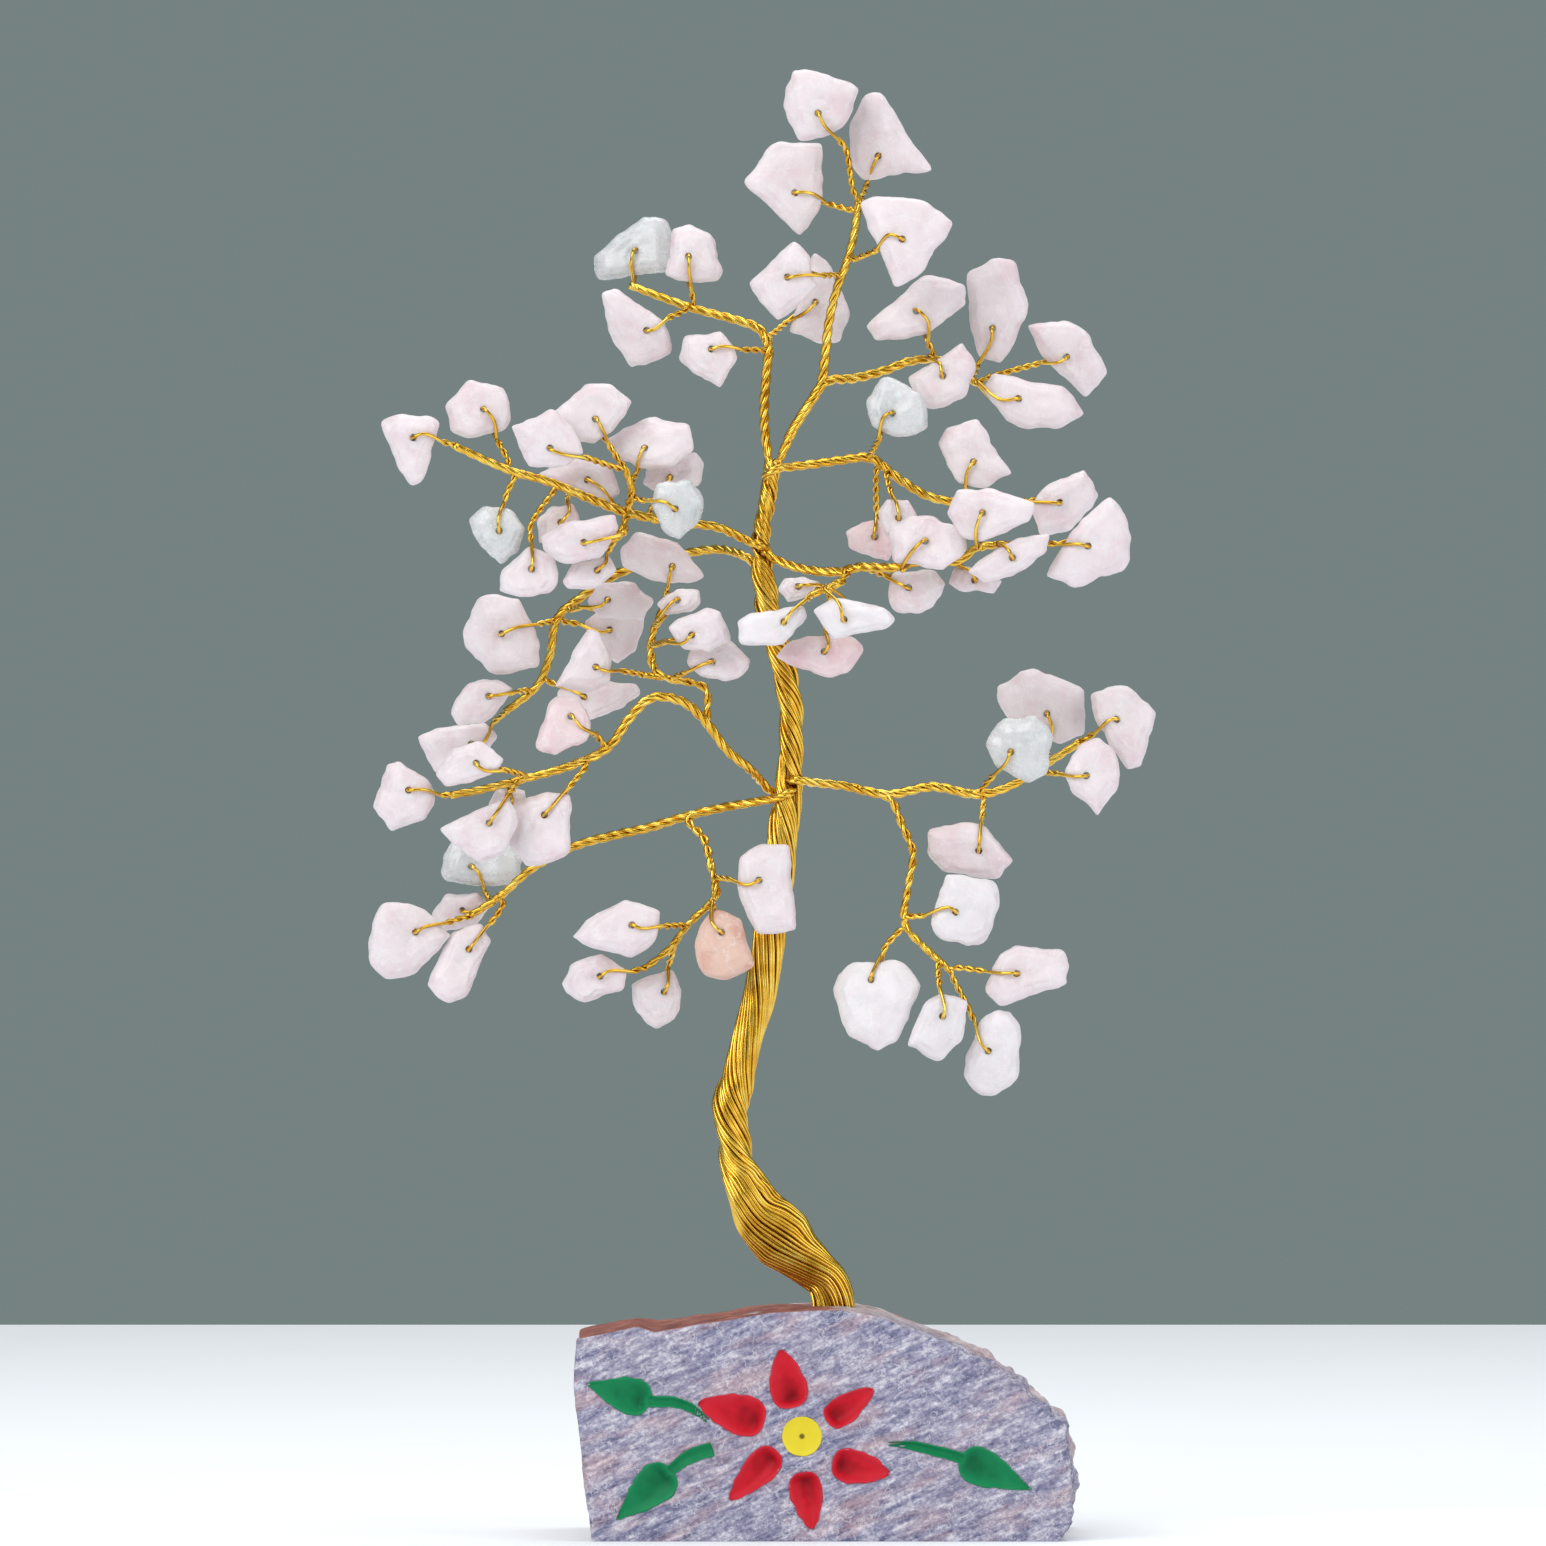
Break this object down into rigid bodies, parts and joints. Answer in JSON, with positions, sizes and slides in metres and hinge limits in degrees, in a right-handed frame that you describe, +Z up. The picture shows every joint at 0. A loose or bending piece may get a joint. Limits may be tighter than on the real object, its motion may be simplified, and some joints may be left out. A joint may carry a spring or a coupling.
{
  "type": "gemstone tree ornament",
  "caption": "Tabletop gemstone tree: a twisted brass wire trunk with bending boughs of drilled rose quartz chips, set in a cleft stone block with a carved, painted flower.",
  "frame": {"origin": "centre of the stone base's underside", "axes": "+Z up along the tree, -Y towards the flat front with the carved flower, +X to the right seen from the front"},
  "size_m": [0.0905, 0.035, 0.1681],
  "materials": {
    "stone": "sawn and cleft",
    "red_enamel": "gloss paint",
    "green_enamel": "gloss paint",
    "yellow_enamel": "gloss paint",
    "glue": "cured glue",
    "brass_wire": "bright drawn wire",
    "rose_quartz": "tumbled"
  },
  "bodies": {
    "trunk_and_base": {"flower_eye_paint": "yellow_enamel", "glue_bed": "glue", "leaf_paint": "green_enamel", "petal_paint": "red_enamel", "stone_base": "stone", "trunk_core": "brass_wire", "trunk_lower_wires": "brass_wire", "trunk_middle_wires": "brass_wire", "trunk_upper_wires": "brass_wire"},
    "lower_left_bough": {"lower_left_droop_chips": "rose_quartz", "lower_left_droop_wires": "brass_wire", "lower_left_limb": "brass_wire", "lower_left_tip_chips": "rose_quartz", "lower_left_tip_wires": "brass_wire"},
    "lower_right_bough": {"lower_right_droop_chips": "rose_quartz", "lower_right_droop_wires": "brass_wire", "lower_right_limb": "brass_wire", "lower_right_tip_chips": "rose_quartz", "lower_right_tip_wires": "brass_wire"},
    "middle_left_bough": {"middle_left_limb": "brass_wire", "middle_left_tip_chips": "rose_quartz", "middle_left_tip_wires": "brass_wire", "middle_left_upper_chips": "rose_quartz", "middle_left_upper_wires": "brass_wire"},
    "back_left_bough": {"back_left_inner_chips": "rose_quartz", "back_left_inner_wires": "brass_wire", "back_left_limb": "brass_wire", "back_left_tip_chips": "rose_quartz", "back_left_tip_wires": "brass_wire"},
    "upper_left_bough": {"upper_left_crest_chips": "rose_quartz", "upper_left_crest_wires": "brass_wire", "upper_left_limb": "brass_wire", "upper_left_lower_chips": "rose_quartz", "upper_left_lower_wires": "brass_wire", "upper_left_tip_chips": "rose_quartz", "upper_left_tip_wires": "brass_wire"},
    "right_middle_bough": {"right_middle_front_chips": "rose_quartz", "right_middle_front_wires": "brass_wire", "right_middle_limb": "brass_wire", "right_middle_tip_chips": "rose_quartz", "right_middle_tip_wires": "brass_wire"},
    "right_upper_bough": {"right_upper_limb": "brass_wire", "right_upper_outer_chips": "rose_quartz", "right_upper_outer_wires": "brass_wire"},
    "crown_bough": {"crown_limb": "brass_wire", "crown_outer_chips": "rose_quartz", "crown_outer_wires": "brass_wire"},
    "top_left_bough": {"top_left_limb": "brass_wire", "top_left_outer_chips": "rose_quartz", "top_left_outer_wires": "brass_wire"},
    "top_right_bough": {"top_right_limb": "brass_wire", "top_right_outer_chips": "rose_quartz", "top_right_outer_wires": "brass_wire"}
  },
  "joints": [
    {"name": "lower_left_bend", "type": "hinge", "parent": "trunk_and_base", "child": "lower_left_bough", "pos_m": [-0.00591, 0.00089, 0.0843], "axis": [0, 1, 0], "range_deg": [-8, 8]},
    {"name": "lower_right_bend", "type": "hinge", "parent": "trunk_and_base", "child": "lower_right_bough", "pos_m": [-0.00212, 0.00081, 0.0862], "axis": [0, 1, 0], "range_deg": [-8, 8]},
    {"name": "middle_left_bend", "type": "hinge", "parent": "trunk_and_base", "child": "middle_left_bough", "pos_m": [-0.00505, -0.0011, 0.0874], "axis": [0, 1, 0], "range_deg": [-8, 8]},
    {"name": "back_left_bend", "type": "hinge", "parent": "trunk_and_base", "child": "back_left_bough", "pos_m": [-0.00819, 0.00103, 0.1126], "axis": [0, 1, 0], "range_deg": [-8, 8]},
    {"name": "upper_left_bend", "type": "hinge", "parent": "trunk_and_base", "child": "upper_left_bough", "pos_m": [-0.00814, -0.00056, 0.1146], "axis": [0, 1, 0], "range_deg": [-8, 8]},
    {"name": "right_middle_bend", "type": "hinge", "parent": "trunk_and_base", "child": "right_middle_bough", "pos_m": [-0.00572, -0.00109, 0.1114], "axis": [0, 1, 0], "range_deg": [-8, 8]},
    {"name": "right_upper_bend", "type": "hinge", "parent": "trunk_and_base", "child": "right_upper_bough", "pos_m": [-0.00456, 0.00025, 0.1222], "axis": [0, 1, 0], "range_deg": [-8, 8]},
    {"name": "crown_bend", "type": "hinge", "parent": "trunk_and_base", "child": "crown_bough", "pos_m": [-0.00484, 0, 0.12359], "axis": [0, 1, 0], "range_deg": [-8, 8]},
    {"name": "top_left_bend", "type": "hinge", "parent": "trunk_and_base", "child": "top_left_bough", "pos_m": [-0.00627, 0, 0.1238], "axis": [0, 1, 0], "range_deg": [-8, 8]},
    {"name": "top_right_bend", "type": "hinge", "parent": "crown_bough", "child": "top_right_bough", "pos_m": [0.00061, 0.00057, 0.13252], "axis": [0, 1, 0], "range_deg": [-8, 8]}
  ]
}
